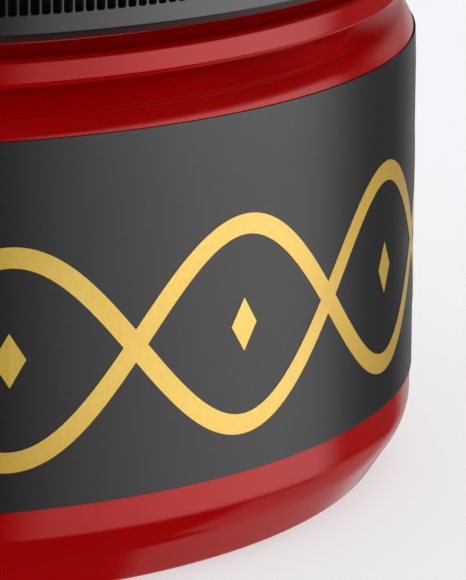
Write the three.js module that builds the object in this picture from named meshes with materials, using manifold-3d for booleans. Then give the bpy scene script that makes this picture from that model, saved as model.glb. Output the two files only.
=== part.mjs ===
// A squat wide-mouth screw-top jar: a blow-moulded red body with a wrap label and gold foil on the
// label, and a black screw lid with a foam liner. Millimetres, +Z up, standing on z = 0, with the
// axis through the origin. The front faces -Y and the label's seam is at the back, on +Y.
import * as THREE from 'three';
import { mergeVertices } from 'three/addons/utils/BufferGeometryUtils.js';
import Module from 'manifold-3d';

// Jar body
const bodyRadius = 45;
const bodyWall = 1.3;
const pushUpHeight = 1.5;
const pushUpSlope = 1.5;
const floorThickness = 1.5;
const footWidth = 2.6;
const heelEdgeRadius = 0.8;
const heelTaperDegrees = 33.6;
const heelFilletRadius = 4.6;
const heelHeight = 5.6;
const innerHeelRadius = 3.3;
const shoulderRadius = 2.9;

// Neck finish; the neck is stepped in from the body, over a groove that curves up from the shoulder
const neckStep = 1.9;
const neckWall = 1.6;
const grooveHeight = 1.5;
const grooveFootLeanDegrees = 55;
const grooveHeadLeanDegrees = 22;
const neckFlare = 0.4;
const neckFlareHeight = 0.88;
const beadHeight = 2.4;
const beadProud = 1.2;
const beadEdgeRadius = 0.7;
const finishHeight = 14.1;
const rimEdgeRadius = 0.4;

// Screw thread: one start, right-handed
const threadLead = 5.08;
const threadTurns = 1;
const threadHeight = 1.25;
const threadRootWidth = 2;
const threadCrestWidth = 0.8;
const threadBelowRim = 2;
const threadFadeDegrees = 24;
const threadSteps = 60;
const threadSink = 0.4;

// Lid
const lidWall = 2.1;
const lidGapAboveBead = 1.5;
const lidTopThickness = 1.7;
const lidTopEdgeRadius = 1.2;
const lidBottomChamfer = 0.65;
const linerThickness = 1;

// Label and foil
const labelHeight = 28.3;
const labelMarginBelow = 2.1;
const labelLap = 0.6;
const labelThickness = 0.12;
const labelSeamGap = 1.5;
const foilThickness = 0.06;
const foilStroke = 1.6;
const foilBandHeight = 17.3;
const foilMarginBelow = 3.1;
const lensPitchDegrees = 360 / 14;
const lensCount = 12;
const lensSteps = 14;
const diamondWidth = 2.6;
const diamondHeight = 4.2;

// Clearances
const threadClearance = 0.35;
const threadFlankGap = 0.2;
const linerSideClearance = 0.3;
const seatGap = 0.05;
const labelGap = 0.05;
const foilGap = 0.04;

// Facets around every round piece; the same count keeps the facets of nested pieces lined up
const facets = 64;
const arcSteps = 5;
const edgeSteps = 3;

// Heights and radii that follow from the sizes above
const heelTaper = THREE.MathUtils.degToRad(heelTaperDegrees);
const labelBottom = heelHeight + labelMarginBelow;
const labelTop = labelBottom + labelHeight;
const shoulderStart = labelTop - labelLap;
const neckRadius = bodyRadius - neckStep;
const shoulderCentreRadius = bodyRadius - shoulderRadius;
const shoulderAngle = Math.acos((neckRadius - shoulderCentreRadius) / shoulderRadius);
const neckBase = shoulderStart + shoulderRadius * Math.sin(shoulderAngle);
const beadBottom = neckBase + grooveHeight;
const beadTop = beadBottom + beadHeight;
const rimHeight = beadTop + finishHeight;
const floorHeight = pushUpHeight + floorThickness;
const neckInnerRadius = neckRadius - neckWall;
const bodyInnerRadius = bodyRadius - bodyWall;
const threadRadius = neckRadius + threadHeight;
const lidInnerRadius = threadRadius + threadClearance;
const lidRadius = lidInnerRadius + lidWall;
const lidBottom = beadTop + lidGapAboveBead;
const linerBottom = rimHeight + seatGap;
const lidCeiling = linerBottom + linerThickness + seatGap;
const lidTop = lidCeiling + lidTopThickness;
const labelInnerRadius = bodyRadius + labelGap;
const labelOuterRadius = labelInnerRadius + labelThickness;
const foilInnerRadius = labelOuterRadius + foilGap;
const foilOuterRadius = foilInnerRadius + foilThickness;
const foilCentreHeight = labelBottom + foilMarginBelow + foilBandHeight / 2;
const frontAngle = -Math.PI / 2;
const backAngle = Math.PI / 2;

const wasm = await Module();
wasm.setup();

// Points (radius, height) on an arc, angles in radians from outwards to up
function arc(centreRadius, centreHeight, radius, from, to, steps = arcSteps) {
  const points = [];
  for (let i = 0; i <= steps; i += 1) {
    const angle = from + ((to - from) * i) / steps;
    points.push([centreRadius + radius * Math.cos(angle), centreHeight + radius * Math.sin(angle)]);
  }
  return points;
}

// A solid turned about the Z axis from its outline, which runs up the outside and down the inside
function turned(outline) {
  const points = outline.map(([radius, height]) => new THREE.Vector2(radius, height));
  return new THREE.LatheGeometry(points, facets).rotateX(Math.PI / 2);
}

// A closed geometry with only merged positions, as a manifold-3d solid
function solidFrom(geometry) {
  geometry.deleteAttribute('normal');
  geometry.deleteAttribute('uv');
  const merged = mergeVertices(geometry);
  return new wasm.Manifold(new wasm.Mesh({
    numProp: 3,
    vertProperties: Float32Array.from(merged.attributes.position.array),
    triVerts: Uint32Array.from(merged.index.array),
  }));
}

function geometryFrom(solid) {
  const mesh = solid.getMesh();
  const geometry = new THREE.BufferGeometry();
  geometry.setAttribute('position', new THREE.BufferAttribute(Float32Array.from(mesh.vertProperties), 3));
  geometry.setIndex(new THREE.BufferAttribute(Uint32Array.from(mesh.triVerts), 1));
  return geometry;
}

// A closed bar through four-cornered sections: each section lists its corners anticlockwise as seen
// from the bar's start, looking along it
function barThrough(sections) {
  const positions = sections.flat(2);
  const indices = [];
  const quad = (a, b, c, d) => indices.push(a, b, c, a, c, d);
  for (let s = 0; s + 1 < sections.length; s += 1) {
    for (let k = 0; k < 4; k += 1) {
      const next = (k + 1) % 4;
      quad(4 * s + k, 4 * s + 4 + k, 4 * s + 4 + next, 4 * s + next);
    }
  }
  const last = 4 * (sections.length - 1);
  quad(0, 1, 2, 3);
  quad(last + 3, last + 2, last + 1, last);
  const geometry = new THREE.BufferGeometry();
  geometry.setAttribute('position', new THREE.Float32BufferAttribute(positions, 3));
  geometry.setIndex(indices);
  return geometry;
}

function onCylinder(radius, angle, height) {
  return [radius * Math.cos(angle), radius * Math.sin(angle), height];
}

// A helical ridge that stands out from rootRadius to crestRadius and fades out at both ends.
// A crest outside the root gives an outside thread, and one inside it an inside thread.
function threadRidge(rootRadius, crestRadius, lowestHeight) {
  const sweep = threadTurns * 2 * Math.PI;
  const fade = THREE.MathUtils.degToRad(threadFadeDegrees);
  const outwards = Math.sign(crestRadius - rootRadius);
  const sunkRadius = rootRadius - outwards * threadSink;
  const sections = [];
  for (let i = 0; i <= threadSteps; i += 1) {
    const angle = (sweep * i) / threadSteps;
    const fromEnd = Math.min(angle, sweep - angle);
    const grown = Math.min(1, fromEnd / fade);
    const crest = rootRadius + (crestRadius - rootRadius) * grown - outwards * threadSink * (1 - grown) / 2;
    const height = lowestHeight + (threadLead * angle) / (2 * Math.PI);
    const section = [
      onCylinder(sunkRadius, angle, height - threadRootWidth / 2),
      onCylinder(crest, angle, height - threadCrestWidth / 2),
      onCylinder(crest, angle, height + threadCrestWidth / 2),
      onCylinder(sunkRadius, angle, height + threadRootWidth / 2),
    ];
    sections.push(outwards > 0 ? section : section.reverse());
  }
  return solidFrom(barThrough(sections));
}

// The groove under the bead: a hollow arc that leaves the shoulder smoothly and ends under the bead.
// A lean is how far a surface's normal points up from level.
function grooveOutline() {
  const footLean = THREE.MathUtils.degToRad(grooveFootLeanDegrees);
  const headLean = THREE.MathUtils.degToRad(grooveHeadLeanDegrees);
  const shoulder = arc(shoulderCentreRadius, shoulderStart, shoulderRadius, 0, footLean);
  const [footRadius, footHeight] = shoulder.at(-1);
  const sweep = (beadBottom - footHeight) / (Math.sin(footLean) - Math.sin(headLean));
  const centreRadius = footRadius + sweep * Math.cos(footLean);
  const centreHeight = footHeight + sweep * Math.sin(footLean);
  const hollow = arc(centreRadius, centreHeight, sweep, Math.PI + footLean, Math.PI + headLean, edgeSteps);
  return [...shoulder, ...hollow.slice(1)];
}

function jarBody() {
  const heelArcEnd = [
    bodyRadius - heelFilletRadius * (1 - Math.cos(heelTaper)),
    heelHeight - heelFilletRadius * Math.sin(heelTaper),
  ];
  const heelEdgeStart = heelEdgeRadius * (1 - Math.sin(heelTaper));
  const taperRun = (heelArcEnd[1] - heelEdgeStart) * Math.tan(heelTaper);
  const footOuterRadius = heelArcEnd[0] - taperRun - heelEdgeRadius * Math.cos(heelTaper);
  const footInnerRadius = footOuterRadius - footWidth;
  const beadRadius = neckRadius + beadProud;
  const beadEdgeCentre = beadRadius - beadEdgeRadius;
  const quarter = Math.PI / 2;
  return turned([
    [0, pushUpHeight],
    [footInnerRadius - pushUpSlope, pushUpHeight],
    [footInnerRadius, 0],
    ...arc(footOuterRadius, heelEdgeRadius, heelEdgeRadius, -quarter, -heelTaper, edgeSteps),
    ...arc(bodyRadius - heelFilletRadius, heelHeight, heelFilletRadius, -heelTaper, 0),
    ...grooveOutline(),
    ...arc(beadEdgeCentre, beadBottom + beadEdgeRadius, beadEdgeRadius, -quarter, 0, edgeSteps),
    ...arc(beadEdgeCentre, beadTop - beadEdgeRadius, beadEdgeRadius, 0, quarter, edgeSteps),
    [neckRadius + neckFlare, beadTop],
    [neckRadius, beadTop + neckFlareHeight],
    ...arc(neckRadius - rimEdgeRadius, rimHeight - rimEdgeRadius, rimEdgeRadius, 0, quarter, edgeSteps),
    [neckInnerRadius, rimHeight],
    [neckInnerRadius, beadBottom],
    ...arc(shoulderCentreRadius, shoulderStart, shoulderRadius - bodyWall, shoulderAngle, 0, edgeSteps),
    ...arc(bodyInnerRadius - innerHeelRadius, floorHeight + innerHeelRadius, innerHeelRadius, 0, -quarter),
    [0, floorHeight],
  ]);
}

function jarWithThread() {
  const highest = rimHeight - threadBelowRim;
  const ridge = threadRidge(neckRadius, threadRadius, highest - threadLead * threadTurns);
  return geometryFrom(solidFrom(jarBody()).add(ridge));
}

function lidShell() {
  const quarter = Math.PI / 2;
  const chamfered = lidRadius - lidBottomChamfer;
  const shell = turned([
    [0, lidCeiling],
    [lidInnerRadius, lidCeiling],
    [lidInnerRadius, lidBottom],
    [chamfered, lidBottom],
    [lidRadius, lidBottom + lidBottomChamfer],
    ...arc(lidRadius - lidTopEdgeRadius, lidTop - lidTopEdgeRadius, lidTopEdgeRadius, 0, quarter),
    [0, lidTop],
  ]);
  const crestRadius = neckRadius + threadClearance;
  const below = threadRootWidth + threadFlankGap;
  const lowest = rimHeight - threadBelowRim - threadLead * threadTurns - below;
  const ridge = threadRidge(lidInnerRadius, crestRadius, lowest);
  return geometryFrom(solidFrom(shell).add(ridge));
}

function lidLiner() {
  const radius = lidInnerRadius - linerSideClearance;
  return turned([
    [0, linerBottom],
    [radius, linerBottom],
    [radius, linerBottom + linerThickness],
    [0, linerBottom + linerThickness],
  ]);
}

// The film is a C-shaped strip whose ends stop short of each other at the back
function label() {
  const halfSeam = labelSeamGap / 2 / labelInnerRadius;
  const facet = (2 * Math.PI) / facets;
  const angles = [backAngle + halfSeam];
  for (let k = 1; k < facets; k += 1) {
    angles.push(backAngle + k * facet);
  }
  angles.push(backAngle + 2 * Math.PI - halfSeam);
  const sections = angles.map((angle) => [
    onCylinder(labelInnerRadius, angle, labelBottom),
    onCylinder(labelOuterRadius, angle, labelBottom),
    onCylinder(labelOuterRadius, angle, labelTop),
    onCylinder(labelInnerRadius, angle, labelTop),
  ]);
  return barThrough(sections);
}

// One foil wave: a strip of even width along a sine line round the label, phase +1 or -1
function foilWave(phase) {
  const pitch = THREE.MathUtils.degToRad(lensPitchDegrees);
  const start = frontAngle - (lensCount * pitch) / 2;
  const swing = (foilBandHeight - foilStroke) / 2;
  const steps = lensCount * lensSteps;
  const sections = [];
  for (let i = 0; i <= steps; i += 1) {
    const turn = (lensCount * pitch * i) / steps;
    const wave = (Math.PI * turn) / pitch;
    const height = foilCentreHeight + phase * swing * Math.sin(wave);
    const slope = (phase * swing * Math.cos(wave) * Math.PI) / (pitch * foilInnerRadius);
    const lean = Math.atan(slope);
    const across = (-Math.sin(lean) * foilStroke) / 2 / foilInnerRadius;
    const along = (Math.cos(lean) * foilStroke) / 2;
    const angle = start + turn;
    sections.push([
      onCylinder(foilInnerRadius, angle - across, height - along),
      onCylinder(foilOuterRadius, angle - across, height - along),
      onCylinder(foilOuterRadius, angle + across, height + along),
      onCylinder(foilInnerRadius, angle + across, height + along),
    ]);
  }
  return solidFrom(barThrough(sections));
}

function foilBraid() {
  return geometryFrom(foilWave(1).add(foilWave(-1)));
}

// A small upright foil diamond in the middle of one lens of the braid
function foilDiamond(index) {
  const pitch = THREE.MathUtils.degToRad(lensPitchDegrees);
  const angle = frontAngle + (index - (lensCount - 1) / 2) * pitch;
  const halfTurn = diamondWidth / 2 / foilInnerRadius;
  const section = (radius) => [
    onCylinder(radius, angle, foilCentreHeight - diamondHeight / 2),
    onCylinder(radius, angle - halfTurn, foilCentreHeight),
    onCylinder(radius, angle, foilCentreHeight + diamondHeight / 2),
    onCylinder(radius, angle + halfTurn, foilCentreHeight),
  ];
  return barThrough([section(foilInnerRadius), section(foilOuterRadius)]);
}

const materials = {
  redPlastic: { color: 0x8e0404, roughness: 0.22, metalness: 0 },
  blackPlastic: { color: 0x1b1b1c, roughness: 0.45, metalness: 0 },
  whiteFoam: { color: 0xe9e8e4, roughness: 0.9, metalness: 0 },
  blackFilm: { color: 0x202021, roughness: 0.5, metalness: 0 },
  goldFoil: { color: 0xe2b24e, roughness: 0.3, metalness: 1 },
};

function piece(name, geometry, finish) {
  const mesh = new THREE.Mesh(geometry, new THREE.MeshStandardMaterial(materials[finish]));
  mesh.name = name;
  return mesh;
}

const jar = new THREE.Group();
jar.add(piece('jar_body', jarWithThread(), 'redPlastic'));
jar.add(piece('label', label(), 'blackFilm'));
jar.add(piece('label_foil_braid', foilBraid(), 'goldFoil'));
for (let index = 0; index < lensCount; index += 1) {
  jar.add(piece(`label_foil_diamond_${index + 1}`, foilDiamond(index), 'goldFoil'));
}

const lid = new THREE.Group();
lid.add(piece('lid_shell', lidShell(), 'blackPlastic'));
lid.add(piece('lid_liner', lidLiner(), 'whiteFoam'));
jar.add(lid);

export default jar;
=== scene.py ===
"""A squat screw-top jar: a glossy red body, a ribbed black lid and a wrap label with gold foil.

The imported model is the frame. Each class below stands for one piece of the jar, holds its sizes in
millimetres and makes its mesh and its finish, and everything is placed from the frame's own boxes.
"""

from __future__ import annotations

import logging
import math
from dataclasses import dataclass
from enum import Enum
from typing import Callable, Sequence

import bpy
import numpy as np
from mathutils import Matrix, Vector

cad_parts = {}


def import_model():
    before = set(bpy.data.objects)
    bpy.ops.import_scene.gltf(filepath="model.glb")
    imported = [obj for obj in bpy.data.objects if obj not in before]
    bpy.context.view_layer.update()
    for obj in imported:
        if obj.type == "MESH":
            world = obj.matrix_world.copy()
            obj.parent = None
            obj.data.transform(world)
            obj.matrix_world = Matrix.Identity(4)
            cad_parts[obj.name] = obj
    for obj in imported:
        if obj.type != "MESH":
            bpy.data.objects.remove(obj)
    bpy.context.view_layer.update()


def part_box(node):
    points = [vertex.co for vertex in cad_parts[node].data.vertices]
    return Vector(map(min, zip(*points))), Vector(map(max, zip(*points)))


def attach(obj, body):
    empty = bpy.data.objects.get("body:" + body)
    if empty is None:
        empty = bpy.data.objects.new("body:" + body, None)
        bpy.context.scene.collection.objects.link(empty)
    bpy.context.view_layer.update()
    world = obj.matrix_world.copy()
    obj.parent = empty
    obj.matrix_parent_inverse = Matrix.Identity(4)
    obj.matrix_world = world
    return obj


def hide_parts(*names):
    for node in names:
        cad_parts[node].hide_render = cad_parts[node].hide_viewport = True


log = logging.getLogger("jar")

MM = 0.001
TAU = 2 * math.pi
QUARTER = math.pi / 2
FRONT = -QUARTER
BACK = QUARTER
SAME = 1e-6
WELD = 1e-7
DAYLIGHT = (1.0, 1.0, 1.01, 1)
TURNED_CREASE = 40.0
FLAT_CREASE = 30.0

Piece = bpy.types.Object
Point = tuple[float, float]
Offsets = tuple[Point, ...]
Outline = list[Point]
Span = tuple[float, float]
Colour = tuple[float, float, float]
Inputs = dict[str | int, object]
Relief = Callable[[np.ndarray, float, float], np.ndarray]


# --- node trees


class Value:
    """An output in a node tree; with numbers, node maths reads as ordinary arithmetic."""

    def __init__(self, nodes: Nodes, socket: bpy.types.NodeSocket) -> None:
        """Wraps an output socket of a tree."""
        self.nodes = nodes
        self.socket = socket

    def _math(self, operation: str, *operands: Value | float) -> Value:
        """Adds one Math node on values or plain numbers, and takes its result."""
        return self.nodes.value("ShaderNodeMath", dict(enumerate(operands)), operation=operation)

    def __add__(self, other: Value | float) -> Value:
        """Sum."""
        return self._math("ADD", self, other)

    def __sub__(self, other: Value | float) -> Value:
        """Difference."""
        return self._math("SUBTRACT", self, other)

    def __rsub__(self, other: float) -> Value:
        """Difference from a plain number."""
        return self._math("SUBTRACT", other, self)

    def __mul__(self, other: Value | float) -> Value:
        """Product."""
        return self._math("MULTIPLY", self, other)

    def __truediv__(self, other: Value | float) -> Value:
        """Quotient."""
        return self._math("DIVIDE", self, other)

    def __rtruediv__(self, other: float) -> Value:
        """A plain number divided by the value."""
        return self._math("DIVIDE", other, self)

    def __neg__(self) -> Value:
        """The value with its sign turned."""
        return 0.0 - self

    __radd__ = __add__
    __rmul__ = __mul__

    def sine(self) -> Value:
        """Sine, of radians."""
        return self._math("SINE", self)

    def cosine(self) -> Value:
        """Cosine, of radians."""
        return self._math("COSINE", self)

    def arctangent(self) -> Value:
        """Arctangent, in radians."""
        return self._math("ARCTANGENT", self)

    def arcsine(self) -> Value:
        """Arcsine, in radians."""
        return self._math("ARCSINE", self)

    def arctangent_of_ratio(self, other: Value | float) -> Value:
        """The angle, in radians, whose sine is to its cosine as this value is to the other."""
        return self._math("ARCTAN2", self, other)

    def size(self) -> Value:
        """The value without its sign."""
        return self._math("ABSOLUTE", self)

    def wrapped(self, low: float, high: float) -> Value:
        """The value brought between low and high by whole turns of that range."""
        return self._math("WRAP", self, high, low)

    def ramp(self, low: float, high: float, at_low: float = 0.0, at_high: float = 1.0) -> Value:
        """A smooth step from at_low to at_high as this value goes from low to high."""
        ends = {"From Min": low, "From Max": high, "To Min": at_low, "To Max": at_high}
        inputs = {"Value": self, **ends}
        return self.nodes.value("ShaderNodeMapRange", inputs, interpolation_type="SMOOTHSTEP")


class Nodes:
    """A node tree and the one way in which nodes are added to it."""

    def __init__(self, tree: bpy.types.NodeTree) -> None:
        """Wraps a tree."""
        self.tree = tree

    def plug(self, socket: bpy.types.NodeSocket, value: object) -> None:
        """Feeds an input socket.

        Args:
            socket: the input.
            value: a Value, a list of them for an input that joins several, or a constant for the
                socket's default.
        """
        if isinstance(value, list):
            for each in value:
                self.plug(socket, each)
        elif isinstance(value, Value):
            self.tree.links.new(value.socket, socket)
        else:
            socket.default_value = value

    def node(self, kind: str, inputs: Inputs | None = None, **settings: object) -> bpy.types.Node:
        """Adds a node.

        Args:
            kind: the node's type.
            inputs: what to plug into its sockets, by name or place.
            settings: the node's own properties, which are set first.

        Returns:
            The node.
        """
        node = self.tree.nodes.new(kind)
        for key, setting in settings.items():
            setattr(node, key, setting)
        for key, value in (inputs or {}).items():
            self.plug(node.inputs[key], value)
        return node

    def value(
        self, kind: str, inputs: Inputs | None = None, output: str | int = 0, **settings: object
    ) -> Value:
        """Adds a node and takes one of its outputs as a value."""
        return Value(self, self.node(kind, inputs, **settings).outputs[output])

    def parts(self, vector: Value) -> list[Value]:
        """The X, Y and Z of a vector."""
        split = self.node("ShaderNodeSeparateXYZ", {0: vector})
        return [Value(self, socket) for socket in split.outputs]


class TreeInput(Enum):
    """The kinds of named input that the trees here take."""

    LENGTH = "NodeSocketFloat"
    COUNT = "NodeSocketInt"
    FINISH = "NodeSocketMaterial"


class GeometryTree(Nodes):
    """A Geometry Nodes tree with named inputs that ends in real, finished geometry."""

    def __init__(self, name: str, lengths: Sequence[str], counts: Sequence[str]) -> None:
        """Makes the tree's sockets.

        Args:
            name: the tree's name.
            lengths: the names of its lengths and turns.
            counts: the names of its whole numbers.
        """
        super().__init__(bpy.data.node_groups.new(name, "GeometryNodeTree"))
        interface = self.tree.interface
        for way in ("INPUT", "OUTPUT"):
            interface.new_socket("Geometry", in_out=way, socket_type="NodeSocketGeometry")
        inputs = dict.fromkeys(lengths, TreeInput.LENGTH) | dict.fromkeys(counts, TreeInput.COUNT)
        self.identifiers: dict[str, str] = {}
        for label, kind in (inputs | {"Finish": TreeInput.FINISH}).items():
            socket = interface.new_socket(label, in_out="INPUT", socket_type=kind.value)
            self.identifiers[label] = socket.identifier
        self.source = self.node("NodeGroupInput")

    def input(self, label: str) -> Value:
        """The named input as a value."""
        return Value(self, self.source.outputs[label])

    def close(self, geometry: Value) -> None:
        """Ends the tree: instances become real and take the Finish input."""
        real = self.value("GeometryNodeRealizeInstances", {"Geometry": geometry})
        dressed = {"Geometry": real, "Material": self.input("Finish")}
        self.node("NodeGroupOutput", {0: self.value("GeometryNodeSetMaterial", dressed)})

    def grown_from(self, seed: Piece, name: str, values: dict[str, object]) -> Piece:
        """Runs the tree on an object and keeps the result as a plain mesh object.

        Args:
            seed: the object whose mesh goes in; it is removed afterwards.
            name: the new object's name.
            values: one value for each named input.

        Returns:
            The new object, with no modifier on it.
        """
        modifier = seed.modifiers.new("grow", "NODES")
        modifier.node_group = self.tree
        for label, value in values.items():
            modifier[self.identifiers[label]] = value
        depsgraph = bpy.context.evaluated_depsgraph_get()
        grown = seed.evaluated_get(depsgraph)
        mesh = bpy.data.meshes.new_from_object(grown, depsgraph=depsgraph)
        mesh.name = name
        bpy.data.objects.remove(seed)
        return linked(name, mesh)


def ring_of_copies() -> GeometryTree:
    """A tree that copies its mesh round the Z axis.

    Returns:
        The tree, with inputs Copies, First turn, Step turn and Finish.
    """
    grow = GeometryTree("ring of copies", ("First turn", "Step turn"), ("Copies",))
    line = {"Count": grow.input("Copies"), "Offset": (0, 0, 0)}
    points = grow.value("GeometryNodeMeshLine", line)
    index = grow.value("GeometryNodeInputIndex")
    turn = index * grow.input("Step turn") + grow.input("First turn")
    rotation = grow.value("ShaderNodeCombineXYZ", {"Z": turn})
    placed = {"Points": points, "Instance": grow.input("Geometry"), "Rotation": rotation}
    grow.close(grow.value("GeometryNodeInstanceOnPoints", placed))
    return grow


def foil_braid_tree() -> GeometryTree:
    """A tree that lays two crossing waves of flat foil round a cylinder and joins them into one.

    Returns:
        The tree. Its inputs are the cylinder's radius, the foil's sizes and the braid's layout.
    """
    lengths = ("Radius", "Thickness", "Stroke", "Swing", "Middle height", "First turn", "Lens turn")
    grow = GeometryTree("foil braid", lengths, ("Lenses", "Steps"))
    radius, stroke = grow.input("Radius"), grow.input("Stroke")
    lens_turn, lenses = grow.input("Lens turn"), grow.input("Lenses")
    strips = []
    for phase in (1.0, -1.0):
        cells = {"Size X": 1.0, "Size Y": 1.0, "Vertices X": grow.input("Steps"), "Vertices Y": 2}
        grid = grow.value("GeometryNodeMeshGrid", cells)
        x, y, _ = grow.parts(grow.value("GeometryNodeInputPosition"))
        along, side = x + 0.5, y * stroke
        turn = along * lenses * lens_turn
        wave = along * lenses * math.pi
        swing = grow.input("Swing") * phase
        lean = (swing * wave.cosine() * math.pi / (lens_turn * radius)).arctangent()
        height = grow.input("Middle height") + swing * wave.sine() + lean.cosine() * side
        angle = grow.input("First turn") + turn - lean.sine() * side / radius
        point = {"X": angle.cosine() * radius, "Y": angle.sine() * radius, "Z": height}
        bent = {"Geometry": grid, "Position": grow.value("ShaderNodeCombineXYZ", point)}
        sheet = grow.value("GeometryNodeSetPosition", bent)
        lift = {"Mesh": sheet, "Offset Scale": grow.input("Thickness"), "Individual": False}
        raised = grow.value("GeometryNodeExtrudeMesh", lift, "Mesh", mode="FACES")
        under = grow.value("GeometryNodeFlipFaces", {"Mesh": sheet})
        both = grow.value("GeometryNodeJoinGeometry", {0: [raised, under]})
        joined = {"Geometry": both, "Distance": WELD}
        strips.append(grow.value("GeometryNodeMergeByDistance", joined))
    how = {"operation": "UNION", "solver": "EXACT"}
    grow.close(grow.value("GeometryNodeMeshBoolean", {"Mesh 2": strips}, "Mesh", **how))
    return grow


# --- mesh helpers


def measured(node: str) -> tuple[float, float, float]:
    """The outer radius, the bottom and the top of one of the frame's nodes, in millimetres."""
    low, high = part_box(node)
    return high.x / MM, low.z / MM, high.z / MM


def linked(name: str, mesh: bpy.types.Mesh) -> Piece:
    """Puts a mesh in the scene as an object at the origin."""
    piece = bpy.data.objects.new(name, mesh)
    bpy.context.scene.collection.objects.link(piece)
    return piece


def object_from(name: str, points: np.ndarray, faces: Sequence[Sequence[int]]) -> Piece:
    """Makes an object from points in millimetres.

    Args:
        name: the object's name.
        points: one row for each point.
        faces: the corners of each face, anticlockwise from outside.

    Returns:
        The object.
    """
    mesh = bpy.data.meshes.new(name)
    mesh.from_pydata((points * MM).tolist(), [], [list(face) for face in faces])
    mesh.validate()
    return linked(name, mesh)


def smooth(piece: Piece, crease_degrees: float) -> Piece:
    """Shades a piece smooth apart from the edges that turn more sharply than the crease."""
    piece.data.shade_smooth()
    piece.data.set_sharp_from_angle(angle=math.radians(crease_degrees))
    return piece


def arc(centre: Point, radius: float, start: float, end: float, steps: int) -> Outline:
    """Points of an arc, both ends included; angles run from outwards towards up."""
    angles = np.linspace(start, end, steps + 1)
    return [(centre[0] + radius * math.cos(a), centre[1] + radius * math.sin(a)) for a in angles]


def wall(radius: float, bottom: float, top: float, spacing: float) -> Outline:
    """Points up or down a straight wall, evenly spaced and with both ends included."""
    count = max(2, round(abs(top - bottom) / spacing) + 1)
    return [(radius, height) for height in np.linspace(bottom, top, count)]


def disc(radius: float, height: float, steps: int) -> Outline:
    """Points from the axis to just short of a radius, all at one height."""
    return [(radius * step / steps, height) for step in range(steps)]


def held(outline: Outline, hold: float = 0.08) -> Outline:
    """Adds points close to both ends of each long straight, which keeps its shading flat."""
    kept = [outline[0]]
    for start, end in zip(outline, outline[1:]):
        run = math.dist(start, end)
        if run > 4 * hold:
            for share in (hold / run, 1 - hold / run):
                outwards = start[0] + (end[0] - start[0]) * share
                upwards = start[1] + (end[1] - start[1]) * share
                kept.append((outwards, upwards))
        kept.append(end)
    return kept


def stitched(rows: int, count: int) -> list[list[int]]:
    """The faces between rows of points.

    Args:
        rows: how many rows there are.
        count: how many points each has; the last joins the first.

    Returns:
        The corners of each face.
    """
    here = np.arange(count)
    following = (here + 1) % count
    faces: list[list[int]] = []
    for low in range(0, (rows - 1) * count, count):
        high = low + count
        quads = [low + here, low + following, high + following, high + here]
        faces += np.stack(quads, 1).tolist()
    return faces


def turned(name: str, outline: Outline, segments: int, relief: Relief | None = None) -> Piece:
    """A closed solid turned about the Z axis.

    Args:
        name: the object's name.
        outline: the section, from the axis below, up the outside, and back down to the axis.
        segments: how many facets go round.
        relief: what to add to the radius, for the angles of a row and its radius and height.

    Returns:
        The object.
    """
    angles = np.arange(segments) * TAU / segments
    rows = []
    for radius, height in outline[1:-1]:
        reach = np.full(segments, radius)
        if relief is not None:
            reach = reach + relief(angles, radius, height)
        level = np.full(segments, height)
        rows.append(np.stack([reach * np.cos(angles), reach * np.sin(angles), level], 1))
    first = len(rows) * segments
    points = np.vstack([*rows, [[0, 0, outline[0][1]], [0, 0, outline[-1][1]]]])
    faces = stitched(len(rows), segments)
    last = first - segments
    pairs = [(step, (step + 1) % segments) for step in range(segments)]
    faces += [[there, here, first] for here, there in pairs]
    faces += [[last + here, last + there, first + 1] for here, there in pairs]
    return object_from(name, points, faces)


def prism(name: str, near: np.ndarray, far: np.ndarray) -> Piece:
    """A closed solid between two outlines with the same number of points.

    Args:
        name: the object's name.
        near: the outline nearer the axis, anticlockwise as seen from outside.
        far: the outline further out, in the same order.

    Returns:
        The object.
    """
    count = len(near)
    ends = [list(range(count))[::-1], list(range(count, 2 * count))]
    faces = ends + stitched(2, count)
    return object_from(name, np.vstack([near, far]), faces)


@dataclass(frozen=True)
class Thread:
    """A one-start right-handed screw thread that fades out at both ends.

    Attributes:
        height: how far the ridge stands out; negative for a thread inside a lid.
        lowest: the height of the ridge's middle where it starts.
        lead: the rise in one turn.
        fade: the angle over which each end fades out.
    """

    height: float
    lowest: float
    lead: float = 5.08
    turns: float = 1.0
    root_width: float = 2.0
    crest_width: float = 0.8
    fade: float = math.radians(24)

    def relief(self, angles: np.ndarray, height: float) -> np.ndarray:
        """How far the ridge stands out at each angle of a row."""
        total = np.zeros_like(angles)
        sweep = self.turns * TAU
        for extra in range(-1, math.ceil(self.turns) + 1):
            run = angles + extra * TAU
            middle = self.lowest + self.lead * run / TAU
            off = np.abs(height - middle)
            flank = (self.root_width / 2 - off) / (self.root_width / 2 - self.crest_width / 2)
            flank = np.clip(flank, 0, 1)
            ends = np.clip(np.minimum(run, sweep - run) / self.fade, 0, 1)
            eased = flank * flank * (3 - 2 * flank) * ends * ends * (3 - 2 * ends)
            total = np.maximum(total, eased)
        return total * self.height

    def on(self, wall_radius: float, above: float = -math.inf) -> Relief:
        """The relief of a solid that carries the thread on one wall, above a height."""

        def relief(angles: np.ndarray, radius: float, height: float) -> np.ndarray:
            """The thread on the wall and nothing anywhere else."""
            if abs(radius - wall_radius) > SAME or height < above:
                return np.zeros_like(angles)
            return self.relief(angles, height)

        return relief


# --- finishes


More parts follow.
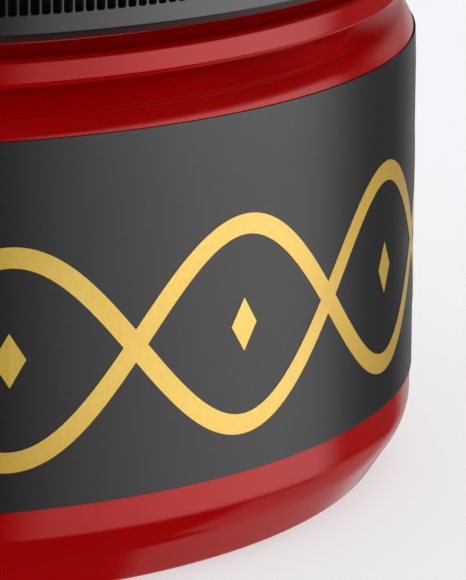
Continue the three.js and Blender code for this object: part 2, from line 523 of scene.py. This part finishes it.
@dataclass(frozen=True)
class Finish:
    """A surface finish: the constants of its shader, which subclasses give detail.

    Attributes:
        name: the material's name.
        slot: the record's material slot; not used.
        colour: the base colour, linear.
        roughness: the mean roughness.
        sheen: the colour of what a face seen square on reflects.
    """

    name: str
    slot: str
    colour: Colour
    roughness: float
    metallic: float = 0.0
    ior: float = 1.5
    sheen: Colour = (1.0, 1.0, 1.0)
    coat: float = 0.0
    coat_roughness: float = 0.05
    coat_ior: float = 1.5

    def material(self) -> bpy.types.Material:
        """Makes the material, with its detail."""
        made = bpy.data.materials.new(self.name)
        made.use_nodes = True
        made.diffuse_color = (*self.colour, 1)
        surface = Surface(made.node_tree)
        constants = {
            "Base Color": (*self.colour, 1),
            "Roughness": self.roughness,
            "Metallic": self.metallic,
            "IOR": self.ior,
            "Specular Tint": (*self.sheen, 1),
            "Coat Weight": self.coat,
            "Coat Roughness": self.coat_roughness,
            "Coat IOR": self.coat_ior,
        }
        for socket, value in constants.items():
            surface.set(socket, value)
        self.detail(surface)
        return made

    def detail(self, surface: Surface) -> None:
        """Adds nothing; a subclass overrides it."""

    def around(self, change: Span) -> Span:
        """The lowest and highest roughness, for changes from the mean."""
        return self.roughness + change[0], self.roughness + change[1]

    def shade(self, gain: float) -> Colour:
        """The base colour, lighter or darker."""
        red, green, blue = (min(1.0, channel * gain) for channel in self.colour)
        return red, green, blue


class Surface(Nodes):
    """The node tree of one finish and the calls that add detail to its shader."""

    def __init__(self, tree: bpy.types.NodeTree) -> None:
        """Starts from the tree's shader and the piece's own coordinates."""
        super().__init__(tree)
        self.shader = tree.nodes["Principled BSDF"]
        self.place = self.value("ShaderNodeTexCoord", output="Object")

    def noise(self, size_mm: float, detail: float = 2.0, roughness: float = 0.5) -> Value:
        """Noise from 0 to 1 whose blotches are about size_mm across."""
        inputs = {"Vector": self.place, "Scale": 1 / (size_mm * MM)}
        inputs |= {"Detail": detail, "Roughness": roughness}
        return self.value("ShaderNodeTexNoise", inputs, "Fac")

    def cells(self, size_mm: float) -> Value:
        """The distance from the middle of the nearest of many cells about size_mm across."""
        inputs = {"Vector": self.place, "Scale": 1 / (size_mm * MM)}
        return self.value("ShaderNodeTexVoronoi", inputs, "Distance")

    def tint(self, amount: Value, first: Colour, second: Colour) -> None:
        """Makes the colour go from first to second as the amount goes from 0 to 1."""
        inputs = {"Factor": amount, "A": (*first, 1), "B": (*second, 1)}
        self.set("Base Color", self.value("ShaderNodeMix", inputs, "Result", data_type="RGBA"))

    def set(self, socket: str, value: object) -> None:
        """Plugs a value into the shader."""
        self.plug(self.shader.inputs[socket], value)

    def bump(self, height: Value, depth_mm: float, strength: float) -> None:
        """Raises the surface by a height from 0 to 1 over a depth."""
        inputs = {"Strength": strength, "Distance": depth_mm * MM, "Height": height}
        self.set("Normal", self.value("ShaderNodeBump", inputs))


@dataclass(frozen=True)
class GlossyMoulding(Finish):
    """Glossy moulded plastic with a faint orange peel and a little cloudiness in its colour."""

    deep: Colour = (0.2, 0.0, 0.0)
    cloud_mm: float = 9.0
    cloud_span: Span = (0.3, 0.75)
    peel_mm: float = 2.4
    peel_share: float = 0.8
    peel_depth_mm: float = 0.008
    peel_strength: float = 0.15
    grain_mm: float = 0.16
    grain_span: Span = (0.3, 0.7)
    gloss_change: Span = (-0.03, 0.04)

    def detail(self, surface: Surface) -> None:
        """Clouds the colour, varies the gloss and adds the peel."""
        cloud = surface.noise(self.cloud_mm, detail=3.0).ramp(*self.cloud_span)
        surface.tint(cloud, self.colour, self.deep)
        grain = surface.noise(self.grain_mm)
        surface.set("Roughness", grain.ramp(*self.grain_span, *self.around(self.gloss_change)))
        peel = surface.noise(self.peel_mm, detail=1.0)
        height = peel * self.peel_share + grain * (1 - self.peel_share)
        surface.bump(height, self.peel_depth_mm, self.peel_strength)


@dataclass(frozen=True)
class SatinMoulding(Finish):
    """Satin moulded plastic with a fine spark-eroded grain."""

    worn: Colour = (0.06, 0.06, 0.06)
    patch_mm: float = 7.0
    patch_span: Span = (0.35, 0.8)
    patch_dulling: float = 0.06
    grain_mm: float = 0.14
    grain_dulling: float = 0.08
    grain_depth_mm: float = 0.012
    grain_strength: float = 0.15

    def detail(self, surface: Surface) -> None:
        """Adds the grain and a slight change of gloss."""
        patches = surface.noise(self.patch_mm, detail=3.0)
        surface.tint(patches.ramp(*self.patch_span), self.colour, self.worn)
        grain = surface.noise(self.grain_mm, roughness=0.6)
        least = self.roughness - (self.patch_dulling + self.grain_dulling) / 2
        dulling = patches * self.patch_dulling + grain * self.grain_dulling
        surface.set("Roughness", dulling + least)
        surface.bump(grain, self.grain_depth_mm, self.grain_strength)


@dataclass(frozen=True)
class LabelFilm(Finish):
    """Printed satin film: an even black with a very fine tooth."""

    tooth_mm: float = 0.11
    tooth_span: Span = (0.25, 0.75)
    tooth_share: float = 0.12
    gloss_change: Span = (-0.04, 0.05)
    mottle_mm: float = 0.5
    mottle_span: Span = (0.3, 0.7)
    mottle_gain: float = 1.35
    wave_mm: float = 14.0
    wave_depth_mm: float = 0.03
    wave_strength: float = 0.35

    def detail(self, surface: Surface) -> None:
        """Adds the tooth, some mottle in the print and slow waves in the film."""
        tooth = surface.noise(self.tooth_mm, roughness=0.6)
        mottle = surface.noise(self.mottle_mm).ramp(*self.mottle_span)
        surface.tint(mottle, self.colour, self.shade(self.mottle_gain))
        surface.set("Roughness", tooth.ramp(*self.tooth_span, *self.around(self.gloss_change)))
        waves = surface.noise(self.wave_mm, detail=1.0)
        height = tooth * self.tooth_share + waves * (1 - self.tooth_share)
        surface.bump(height, self.wave_depth_mm, self.wave_strength)


@dataclass(frozen=True)
class StampedFoil(Finish):
    """Hot-stamped gold foil, with the fine grain of the film under it."""

    warm: Colour = (0.8, 0.45, 0.08)
    grain_mm: float = 0.22
    grain_span: Span = (0.3, 0.7)
    speckle_span: Span = (0.3, 0.8)
    speckle_share: float = 0.55
    drift_mm: float = 12.0
    drift_span: Span = (0.3, 0.7)
    gloss_change: Span = (-0.07, 0.08)
    grain_depth_mm: float = 0.012
    grain_strength: float = 0.5

    def detail(self, surface: Surface) -> None:
        """Speckles the gold, drifts its tone and grains its surface."""
        grain = surface.noise(self.grain_mm, detail=3.0, roughness=0.65)
        speckle = grain.ramp(*self.speckle_span)
        drift = surface.noise(self.drift_mm).ramp(*self.drift_span)
        tone = speckle * self.speckle_share + drift * (1 - self.speckle_share)
        surface.tint(tone, self.colour, self.warm)
        surface.set("Roughness", grain.ramp(*self.grain_span, *self.around(self.gloss_change)))
        surface.bump(grain, self.grain_depth_mm, self.grain_strength)


@dataclass(frozen=True)
class FoamWad(Finish):
    """Closed-cell foam: matte, with a fine pebble of cells whose hollows carry painted shade."""

    cell_mm: float = 0.45
    cell_span: Span = (0.1, 0.7)
    # how dark the painted shade makes the middle of each cell, where the bump sinks
    painted_hollow_shade: float = 0.9
    cell_depth_mm: float = 0.05
    cell_strength: float = 0.6

    def detail(self, surface: Surface) -> None:
        """Adds the cells, with painted shade darkening the colour towards each cell's hollow."""
        cells = surface.cells(self.cell_mm)
        # painted shade: the colour darkens towards each cell's middle, the low point of the bump
        # below
        surface.tint(cells.ramp(*self.cell_span), self.shade(self.painted_hollow_shade), self.colour)
        surface.bump(cells, self.cell_depth_mm, self.cell_strength)


@dataclass(frozen=True)
class PaleFloor(Finish):
    """A plain pale floor, an acrylic table lit from below, with a barely visible mottle."""

    light: float = 0.0
    mottle_mm: float = 60.0
    mottle_shade: float = 0.985

    def detail(self, surface: Surface) -> None:
        """Lights the sheet and mottles it a little."""
        surface.set("Emission Color", DAYLIGHT)
        surface.set("Emission Strength", self.light)
        mottle = surface.noise(self.mottle_mm)
        surface.tint(mottle, self.colour, self.shade(self.mottle_shade))


RED = GlossyMoulding(
    "red_gloss",
    "red_plastic",
    (0.33, 0.0006, 0.0006),
    0.09,
    ior=2.2,
    sheen=(1.0, 0.26, 0.26),
    deep=(0.3, 0.0004, 0.0004),
)
BLACK = SatinMoulding(
    "black_satin",
    "black_plastic",
    (0.009, 0.009, 0.009),
    0.24,
    ior=1.9,
    worn=(0.012, 0.012, 0.012),
)
FILM = LabelFilm("label_black", "black_film", (0.006, 0.006, 0.0062), 0.32, ior=1.72)
GOLD = StampedFoil(
    "gold_stamping",
    "gold_foil",
    (1.0, 0.66, 0.055),
    0.36,
    metallic=0.6,
    coat=1.0,
    coat_roughness=0.3,
    coat_ior=1.9,
    warm=(0.95, 0.54, 0.03),
)
FOAM = FoamWad("white_foam_cells", "white_foam", (0.82, 0.81, 0.78), 0.85)
FLOOR = PaleFloor("pale_floor", "", (0.385, 0.41, 0.42), 0.6, light=0.53)


def dress(piece: Piece, finish: Finish, body: str, nodes: Sequence[str]) -> None:
    """Gives a piece its finish and its body, and hides the frame's nodes that it replaces.

    Args:
        piece: the finished piece.
        finish: its finish, which is made once and shared.
        body: the body that it rides on.
        nodes: the frame's nodes that it replaces.
    """
    if not piece.data.materials:
        piece.data.materials.append(shared_material(finish))
    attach(piece, body)
    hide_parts(*nodes)
    log.info("%s: %d faces, rides on %s", piece.name, len(piece.data.polygons), body)


def shared_material(finish: Finish) -> bpy.types.Material:
    """The finish's material, made the first time it is asked for."""
    return bpy.data.materials.get(finish.name) or finish.material()


# --- pieces


@dataclass
class JarBody:
    """The blow-moulded jar: foot, heel, label panel, shoulder, transfer bead and threaded neck."""

    segments: int = 288
    wall: float = 1.3
    push_up: float = 1.5
    push_up_slope: float = 1.5
    floor_thickness: float = 1.5
    foot_width: float = 2.6
    gate_radius: float = 1.6
    gate_flat: float = 1.12
    gate_depth: float = 0.5
    gate_edge: float = 0.3
    dish_ease: Offsets = ((-0.5, 0.0), (0.2, -0.2))
    foot_ease: Offsets = ((-0.25, 0.22), (0.0, 0.05), (0.3, 0.0))
    heel_edge: float = 0.8
    heel_taper: float = math.radians(33.6)
    heel_fillet: float = 4.6
    heel_height: float = 5.6
    inner_heel: float = 3.3
    shoulder: float = 2.9
    shoulder_start: float = 35.4
    neck_radius: float = 43.1
    neck_wall: float = 1.6
    groove: float = 1.5
    groove_lean_low: float = math.radians(55)
    groove_lean_high: float = math.radians(22)
    root_height: float = 0.75
    root_lean_low: float = math.radians(45)
    root_lean_high: float = math.radians(24)
    bead_height: float = 2.4
    bead_proud: float = 1.2
    bead_edge: float = 0.7
    bead_lower_edge: float = 0.5
    rim_edge: float = 0.4
    thread_below_rim: float = 2.0
    thread_height: float = 1.25
    row_spacing: float = 0.17
    panel_spacing: float = 3.0

    def __post_init__(self) -> None:
        """Takes the outer radius and the rim's height from the frame."""
        self.radius, _, self.rim = measured("jar_body")
        self.shoulder_centre = self.radius - self.shoulder
        self.shoulder_angle = math.acos((self.neck_radius - self.shoulder_centre) / self.shoulder)
        shoulder_rise = self.shoulder * math.sin(self.shoulder_angle)
        self.bead_bottom = self.shoulder_start + shoulder_rise + self.groove
        self.bead_top = self.bead_bottom + self.bead_height
        lead = Thread(1, 0).lead
        self.thread = Thread(self.thread_height, self.rim - self.thread_below_rim - lead)

    def panel_radius(self, height: float) -> float:
        """The outside radius at a height on the label panel or the start of the shoulder."""
        rise = max(0.0, height - self.shoulder_start)
        return self.shoulder_centre + math.sqrt(self.shoulder**2 - rise**2)

    def foot_outline(self) -> Outline:
        """The underside and the heel, from the axis out to the label panel."""
        arc_end_radius = self.radius - self.heel_fillet * (1 - math.cos(self.heel_taper))
        arc_end_height = self.heel_height - self.heel_fillet * math.sin(self.heel_taper)
        edge_start = self.heel_edge * (1 - math.sin(self.heel_taper))
        run = (arc_end_height - edge_start) * math.tan(self.heel_taper)
        foot_outer = arc_end_radius - run - self.heel_edge * math.cos(self.heel_taper)
        foot_inner = foot_outer - self.foot_width
        dish = foot_inner - self.push_up_slope
        gate_bottom = self.push_up - self.gate_depth
        outline: Outline = [(0, gate_bottom), (self.gate_flat, gate_bottom)]
        centre = (self.gate_flat, gate_bottom + self.gate_edge)
        outline += arc(centre, self.gate_edge, -QUARTER, 0, steps=4)
        outline += [(self.gate_radius, self.push_up)]
        outline += disc(dish, self.push_up, steps=6)[1:]
        outline += [(dish + out, self.push_up + up) for out, up in self.dish_ease]
        outline += [(foot_inner + out, up) for out, up in self.foot_ease]
        centre = (foot_outer, self.heel_edge)
        outline += arc(centre, self.heel_edge, -QUARTER, -self.heel_taper, steps=8)
        centre = (self.radius - self.heel_fillet, self.heel_height)
        outline += arc(centre, self.heel_fillet, -self.heel_taper, 0, steps=20)
        return outline

    def finish_outline(self) -> Outline:
        """The shoulder, the bead and the neck, up to the rim."""
        bead_radius = self.neck_radius + self.bead_proud
        low, high = self.groove_lean_low, self.groove_lean_high
        outline = wall(self.radius, self.heel_height, self.shoulder_start, self.panel_spacing)[1:]
        centre = (self.shoulder_centre, self.shoulder_start)
        outline += arc(centre, self.shoulder, 0, low, steps=20)[1:]
        leave_radius, leave_height = outline[-1]
        sweep = (self.bead_bottom - leave_height) / (math.sin(low) - math.sin(high))
        centre = (leave_radius + sweep * math.cos(low), leave_height + sweep * math.sin(low))
        outline += arc(centre, sweep, math.pi + low, math.pi + high, steps=16)[1:]
        edge = self.bead_lower_edge
        centre = (bead_radius - edge, self.bead_bottom + edge)
        outline += arc(centre, edge, -QUARTER, 0, steps=10)
        centre = (bead_radius - self.bead_edge, self.bead_top - self.bead_edge)
        outline += arc(centre, self.bead_edge, 0, QUARTER, steps=10)
        low, high = self.root_lean_low, self.root_lean_high
        sweep = self.root_height / (math.sin(low) - math.sin(high))
        neck_foot = self.bead_top + self.root_height
        centre = (self.neck_radius + sweep * math.cos(high), neck_foot + sweep * math.sin(high))
        outline += arc(centre, sweep, math.pi + low, math.pi + high, steps=8)[:-1]
        rim_start = self.rim - self.rim_edge
        outline += wall(self.neck_radius, neck_foot, rim_start, self.row_spacing)
        centre = (self.neck_radius - self.rim_edge, rim_start)
        outline += arc(centre, self.rim_edge, 0, QUARTER, steps=6)[1:]
        return outline

    def inner_outline(self) -> Outline:
        """The inside, from the rim down to the axis."""
        neck_inner = self.neck_radius - self.neck_wall
        body_inner = self.radius - self.wall
        floor = self.push_up + self.floor_thickness
        centre = (neck_inner + self.rim_edge, self.rim - self.rim_edge)
        outline = arc(centre, self.rim_edge, QUARTER, math.pi, steps=6)
        outline += [(neck_inner, self.bead_bottom)]
        centre = (self.shoulder_centre, self.shoulder_start)
        outline += arc(centre, self.shoulder - self.wall, self.shoulder_angle, 0, steps=10)
        centre = (body_inner - self.inner_heel, floor + self.inner_heel)
        outline += arc(centre, self.inner_heel, 0, -QUARTER, steps=14)
        outline += disc(body_inner, floor, steps=5)[::-1]
        return outline

    def build(self) -> Piece:
        """Turns the whole jar."""
        outline = held(self.foot_outline() + self.finish_outline() + self.inner_outline())
        relief = self.thread.on(self.neck_radius, self.bead_top)
        piece = smooth(turned("jar", outline, self.segments, relief), TURNED_CREASE)
        dress(piece, RED, "jar", ["jar_body"])
        return piece


@dataclass
class LidShell:
    """The screw lid: a plain lower band, a skirt of fine upright ribs and a flat top."""

    segments: int = 360
    bottom_chamfer: float = 0.65
    chamfer_round: float = 0.06
    round_run: float = 0.7
    round_rise: float = 0.5
    band_height: float = 2.1
    rib_count: int = 348
    rib_width: float = 0.15
    rib_depth: float = 1.2
    rib_foot: float = 0.2
    rib_lap: float = 0.02
    rib_sink: float = 0.05
    slot_edge: float = 0.03
    slot_spacing: float = 3.0
    ribs_below_top: float = 2.0
    top_edge: float = 1.2
    top_thickness: float = 1.7
    inner_radius: float = 44.7
    ceiling_edge: float = 0.4
    mouth_chamfer: float = 0.5
    thread_clearance: float = 0.35
    thread_flank_gap: float = 0.2
    row_spacing: float = 0.2

    def __post_init__(self) -> None:
        """Takes the lid's outer sizes from the frame."""
        self.radius, self.bottom, self.top = measured("lid_shell")
        self.ceiling = self.top - self.top_thickness
        self.rib_bottom = self.bottom + self.band_height
        self.rib_top = self.top - self.ribs_below_top

    def thread_in(self, jar: JarBody) -> Thread:
        """The lid's thread, which hangs just below the neck's own."""
        crest = jar.neck_radius + self.thread_clearance
        below = jar.thread.root_width + self.thread_flank_gap
        return Thread(crest - self.inner_radius, jar.thread.lowest - below)

    def outline(self) -> Outline:
        """The section, from the ceiling at the axis down the inside and up the outside."""
        radius, bottom, edge = self.radius, self.bottom, self.slot_edge
        slot_floor = radius - self.rib_depth
        chamfer = self.bottom_chamfer
        soft = self.chamfer_round
        run, rise = soft * self.round_run, soft * self.round_rise
        wall_top = self.ceiling - self.ceiling_edge
        wall_bottom = bottom + self.mouth_chamfer
        outline = disc(self.inner_radius, self.ceiling, steps=5)
        centre = (self.inner_radius - self.ceiling_edge, wall_top)
        outline += arc(centre, self.ceiling_edge, QUARTER, 0, steps=5)
        outline += wall(self.inner_radius, wall_top, wall_bottom, self.row_spacing)[1:]
        outline += [
            (self.inner_radius + self.mouth_chamfer, bottom),
            (radius - chamfer - soft, bottom),
            (radius - chamfer + run, bottom + rise),
            (radius - rise, bottom + chamfer - run),
            (radius, bottom + chamfer + soft),
            (radius, (bottom + chamfer + self.rib_bottom) / 2),
            (radius, self.rib_bottom - edge),
            (radius - edge, self.rib_bottom),
            (slot_floor, self.rib_bottom),
        ]
        outline += wall(slot_floor, self.rib_bottom, self.rib_top, self.slot_spacing)[1:]
        outline += [(radius - edge, self.rib_top), (radius, self.rib_top + edge)]
        centre = (radius - self.top_edge, self.top - self.top_edge)
        outline += arc(centre, self.top_edge, 0, QUARTER, steps=14)
        outline += disc(radius, self.top, steps=5)[::-1]
        return outline

    def rib(self) -> Piece:
        """One rib on the X axis, whose foot and head flare to round the slots' corners."""
        half, foot = self.rib_width / 2, self.rib_foot
        low, high = self.rib_bottom - self.rib_lap, self.rib_top + self.rib_lap
        corner = np.linspace(0, QUARTER, num=4)
        side = [(half + foot * (1 - math.sin(a)), low + foot * (1 - math.cos(a))) for a in corner]
        side += [(half + foot * (1 - math.cos(a)), high - foot * (1 - math.sin(a))) for a in corner]
        loop = side + [(-across, height) for across, height in reversed(side)]
        across, height = np.array(loop).T
        sunk = np.full(len(loop), self.radius - self.rib_depth - self.rib_sink)
        proud = np.sqrt(self.radius**2 - across**2)
        near = np.stack([sunk, across, height], 1)
        far = np.stack([proud, across, height], 1)
        return prism("rib", near, far)

    def build(self, jar: JarBody, copies: GeometryTree) -> list[Piece]:
        """Turns the shell and grows its ribs.

        Args:
            jar: the jar that the lid screws onto.
            copies: the tree that rings copies round the axis.

        Returns:
            The shell and the ribs.
        """
        relief = self.thread_in(jar).on(self.inner_radius)
        outline = held(self.outline())
        shell = smooth(turned("lid", outline, self.segments, relief), TURNED_CREASE)
        dress(shell, BLACK, "lid", ["lid_shell"])
        values = {
            "Copies": self.rib_count,
            "First turn": 0.0,
            "Step turn": TAU / self.rib_count,
            "Finish": shared_material(BLACK),
        }
        ribs = smooth(copies.grown_from(self.rib(), "lid_ribs", values), FLAT_CREASE)
        dress(ribs, BLACK, "lid", ["lid_shell"])
        return [shell, ribs]


@dataclass
class Liner:
    """The foam wad in the lid, a soft-edged disc."""

    segments: int = 180
    edge: float = 0.3

    def build(self) -> Piece:
        """Turns the disc."""
        radius, bottom, top = measured("lid_liner")
        inset = radius - self.edge
        outline = disc(radius, bottom, steps=8)
        outline += arc((inset, bottom + self.edge), self.edge, -QUARTER, 0, steps=5)
        outline += arc((inset, top - self.edge), self.edge, 0, QUARTER, steps=5)
        outline += disc(radius, top, steps=8)[::-1]
        piece = smooth(turned("foam_wad", outline, self.segments), TURNED_CREASE)
        dress(piece, FOAM, "liner", ["lid_liner"])
        return piece


@dataclass
class Label:
    """The wrap label, one strip of film whose ends stop short of each other at the back."""

    steps: int = 360
    rows: int = 12
    gap: float = 0.03
    thickness: float = 0.12
    seam: float = 1.5

    def __post_init__(self) -> None:
        """Takes the strip's edges from the frame."""
        _, self.bottom, self.top = measured("label")

    def outer_radius(self, jar: JarBody) -> float:
        """The radius of the printed face on the straight panel."""
        return jar.radius + self.gap + self.thickness

    def build(self, jar: JarBody) -> Piece:
        """Sweeps the film's section round the jar, following the panel and the shoulder's start."""
        heights = np.linspace(self.bottom, self.top, self.rows)
        soft = self.thickness / 3
        inner = [(jar.panel_radius(z) + self.gap, z) for z in heights]
        outer = [(radius + self.thickness, z) for radius, z in inner]
        outer[0] = (outer[0][0], outer[0][1] + soft)
        outer[-1] = (outer[-1][0], outer[-1][1] - soft)
        lower_edge = (outer[0][0] - soft, self.bottom)
        upper_edge = (outer[-1][0] - soft, self.top)
        section = np.array([*inner[::-1], lower_edge, *outer, upper_edge])
        half_seam = self.seam / 2 / jar.radius
        angles = np.linspace(BACK + half_seam, BACK + TAU - half_seam, self.steps + 1)
        count = len(section)
        reach, height = section.T
        points = np.vstack([
            np.stack([reach * math.cos(a), reach * math.sin(a), height], 1) for a in angles
        ])
        faces = [face[:1] + face[:0:-1] for face in stitched(self.steps + 1, count)]
        faces.append(list(range(count)))
        faces.append([self.steps * count + k for k in reversed(range(count))])
        piece = smooth(object_from("wrap_label", points, faces), FLAT_CREASE)
        dress(piece, FILM, "jar", ["label"])
        return piece


@dataclass
class Foil:
    """The gold stamping: a braid of two crossing waves with a diamond in each lens."""

    gap: float = 0.01
    thickness: float = 0.03
    stroke: float = 1.6
    lens_turn: float = TAU / 14
    lenses: int = 12
    steps_per_lens: int = 40
    diamond_width: float = 2.6
    diamond_height: float = 4.2

    def __post_init__(self) -> None:
        """Takes the band's height from the frame."""
        _, self.bottom, self.top = measured("label_foil_braid")
        self.middle = (self.bottom + self.top) / 2

    def braid(self, radius: float) -> Piece:
        """Grows the two waves as one piece of foil."""
        tree = foil_braid_tree()
        values = {
            "Radius": radius * MM,
            "Thickness": self.thickness * MM,
            "Stroke": self.stroke * MM,
            "Swing": (self.top - self.bottom - self.stroke) / 2 * MM,
            "Middle height": self.middle * MM,
            "First turn": FRONT - self.lenses * self.lens_turn / 2,
            "Lens turn": self.lens_turn,
            "Lenses": self.lenses,
            "Steps": self.lenses * self.steps_per_lens + 1,
            "Finish": shared_material(GOLD),
        }
        seed = linked("braid_seed", bpy.data.meshes.new("braid_seed"))
        return smooth(tree.grown_from(seed, "foil_braid", values), FLAT_CREASE)

    def diamonds(self, radius: float, copies: GeometryTree) -> Piece:
        """Rings the diamonds round the label, one in each lens."""
        across = self.diamond_width / 2
        tall = self.diamond_height / 2
        outline = [(0, -tall), (across, 0), (0, tall), (-across, 0)]
        near = np.array([[math.sqrt(radius**2 - y * y), y, self.middle + z] for y, z in outline])
        far = near + np.array([self.thickness, 0, 0])
        values = {
            "Copies": self.lenses,
            "First turn": FRONT - (self.lenses - 1) / 2 * self.lens_turn,
            "Step turn": self.lens_turn,
            "Finish": shared_material(GOLD),
        }
        return copies.grown_from(prism("diamond", near, far), "foil_diamonds", values)

    def build(self, radius: float, copies: GeometryTree) -> list[Piece]:
        """Makes the braid and the diamonds.

        Args:
            radius: the radius of the label's printed face.
            copies: the tree that rings copies round the axis.

        Returns:
            The two pieces.
        """
        seat = radius + self.gap
        braid = self.braid(seat)
        dress(braid, GOLD, "jar", ["label_foil_braid"])
        diamonds = self.diamonds(seat, copies)
        dress(diamonds, GOLD, "jar", [f"label_foil_diamond_{n + 1}" for n in range(self.lenses)])
        return [braid, diamonds]


# --- studio


@dataclass(frozen=True)
class Viewpoint:
    """Where the camera stands, from the jar's axis and the foot of the label.

    Attributes:
        distance: how far in front of the axis, in millimetres.
        height: how far above the label's lower edge, in millimetres.
    """

    distance: float = 352.3
    height: float = 102.4
    lens: float = 270.9
    sensor: float = 36.0
    nearest: float = 0.01
    furthest: float = 100.0
    turn: float = math.radians(4.922)
    tilt: float = math.radians(15.453)
    roll: float = math.radians(0.258)

    def place(self, label_bottom: float) -> None:
        """Sets the scene's camera.

        Args:
            label_bottom: the height of the label's lower edge, in millimetres.
        """
        camera = bpy.data.cameras.new("view")
        camera.lens = self.lens
        camera.sensor_width = self.sensor
        camera.clip_start = self.nearest
        camera.clip_end = self.furthest
        holder = bpy.data.objects.new("view", camera)
        forward = Vector((
            math.sin(self.turn) * math.cos(self.tilt),
            math.cos(self.turn) * math.cos(self.tilt),
            -math.sin(self.tilt),
        ))
        level = Vector((math.cos(self.turn), -math.sin(self.turn), 0))
        upright = level.cross(forward)
        right = level * math.cos(self.roll) + upright * math.sin(self.roll)
        up = upright * math.cos(self.roll) - level * math.sin(self.roll)
        basis = Matrix((right, up, -forward)).transposed().to_4x4()
        station = Vector((0, -self.distance * MM, (self.height + label_bottom) * MM))
        holder.matrix_world = Matrix.Translation(station) @ basis
        bpy.context.scene.collection.objects.link(holder)
        bpy.context.scene.camera = holder


@dataclass(frozen=True)
class SoftBox:
    """A soft-edged light on the studio's surround, seen in glossy surfaces.

    Angles are in degrees. Azimuth turns from the camera's side towards +X, and elevation rises from
    the horizon.

    Attributes:
        azimuth: the middle of the box.
        spread: its width, to where it has faded by half.
        azimuth_fade: how far its sides take to fade.
        elevation: the middle of the box.
        rise: its height, to where it has faded by half.
        elevation_fade: how far its top and bottom take to fade.
        brightness: its radiance, where a white surface in the scene is about 1.
    """

    azimuth: float
    spread: float
    azimuth_fade: float
    elevation: float
    rise: float
    elevation_fade: float
    brightness: float

    def glow(self, azimuth: Value, elevation: Value) -> Value:
        """The box's radiance in a direction.

        Args:
            azimuth: the direction's azimuth, in degrees from -180 to 180.
            elevation: the direction's elevation, in degrees.

        Returns:
            The radiance.
        """
        sideways = (azimuth - self.azimuth).wrapped(-180, 180).size()
        upwards = (elevation - self.elevation).size()
        side, reach = self.spread / 2, self.azimuth_fade / 2
        top, soft = self.rise / 2, self.elevation_fade / 2
        across = sideways.ramp(side - reach, side + reach, 1, 0)
        along = upwards.ramp(top - soft, top + soft, 1, 0)
        return across * along * self.brightness


@dataclass
class Studio:
    """A pale floor under an even surround with soft boxes on it."""

    floor_reach: float = 40.0
    matte_light: float = 0.93
    matte_fill: SoftBox = SoftBox(135, 120, 60, -20, 120, 60, 1.1)
    seen_surround: float = 0.92

    def boxes(self) -> list[SoftBox]:
        """The soft boxes: the key and its tail, two low ones, a rim, a glow and two at the back."""
        return [
            SoftBox(71, 80, 14, -4, 40, 6, 0.75),
            SoftBox(77, 48, 34, -1, 34, 20, 0.85),
            SoftBox(135, 50, 16, -4, 32, 10, 0.06),
            SoftBox(100.5, 23, 10, -39, 24, 4, 0.28),
            SoftBox(139, 54, 10, -42, 40, 4, 0.28),
            SoftBox(162, 20, 14, -14, 28, 20, 0.42),
            SoftBox(148, 36, 16, 4, 20, 14, 0.25),
            SoftBox(-125, 60, 10, -2, 44, 8, 1.1),
            SoftBox(-160, 24, 10, 8, 60, 10, 0.8),
        ]

    def floor(self) -> Piece:
        """Lays the floor, which the jar's own surfaces look past."""
        reach = self.floor_reach / MM
        signs = ((-1, -1), (1, -1), (1, 1), (-1, 1))
        corners = [[reach * across, reach * along, 0] for across, along in signs]
        floor = object_from("floor", np.array(corners), [[0, 1, 2, 3]])
        floor.data.materials.append(shared_material(FLOOR))
        floor.visible_glossy = False
        floor.visible_diffuse = False
        return floor

    def surroundings(self) -> None:
        """Makes the surround: even for matte light, dark with soft boxes for glossy faces."""
        world = bpy.data.worlds.new("surround")
        world.use_nodes = True
        world.cycles.sampling_method = "NONE"
        bpy.context.scene.world = world
        sky = Nodes(world.node_tree)
        x, y, z = sky.parts(sky.value("ShaderNodeTexCoord", output="Generated"))
        azimuth = x.arctangent_of_ratio(-y) * math.degrees(1)
        elevation = z.arcsine() * math.degrees(1)
        glow = sum(box.glow(azimuth, elevation) for box in self.boxes())
        path = sky.node("ShaderNodeLightPath")
        glossy = Value(sky, path.outputs["Is Glossy Ray"])
        camera = Value(sky, path.outputs["Is Camera Ray"])
        matte = self.matte_fill.glow(azimuth, elevation) + self.matte_light
        level = glossy * (glow - matte) + matte
        level = level + camera * (self.seen_surround - matte)
        background = sky.tree.nodes["Background"]
        sky.plug(background.inputs["Color"], DAYLIGHT)
        sky.plug(background.inputs["Strength"], level)

    def build(self) -> None:
        """Sets the studio up round the jar."""
        self.floor()
        self.surroundings()
        bpy.context.scene.view_settings.view_transform = "Standard"


def main() -> None:
    """Builds the jar on its frame, lights it and looks at it."""
    logging.basicConfig(level=logging.INFO, format="%(name)s: %(message)s")
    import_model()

    jar = JarBody()
    label = Label()
    lid = LidShell()
    copies = ring_of_copies()
    Viewpoint().place(label.bottom)
    Studio().build()

    jar.build()
    label.build(jar)
    Foil().build(label.outer_radius(jar), copies)
    lid.build(jar, copies)
    Liner().build()


if __name__ == "__main__":
    main()
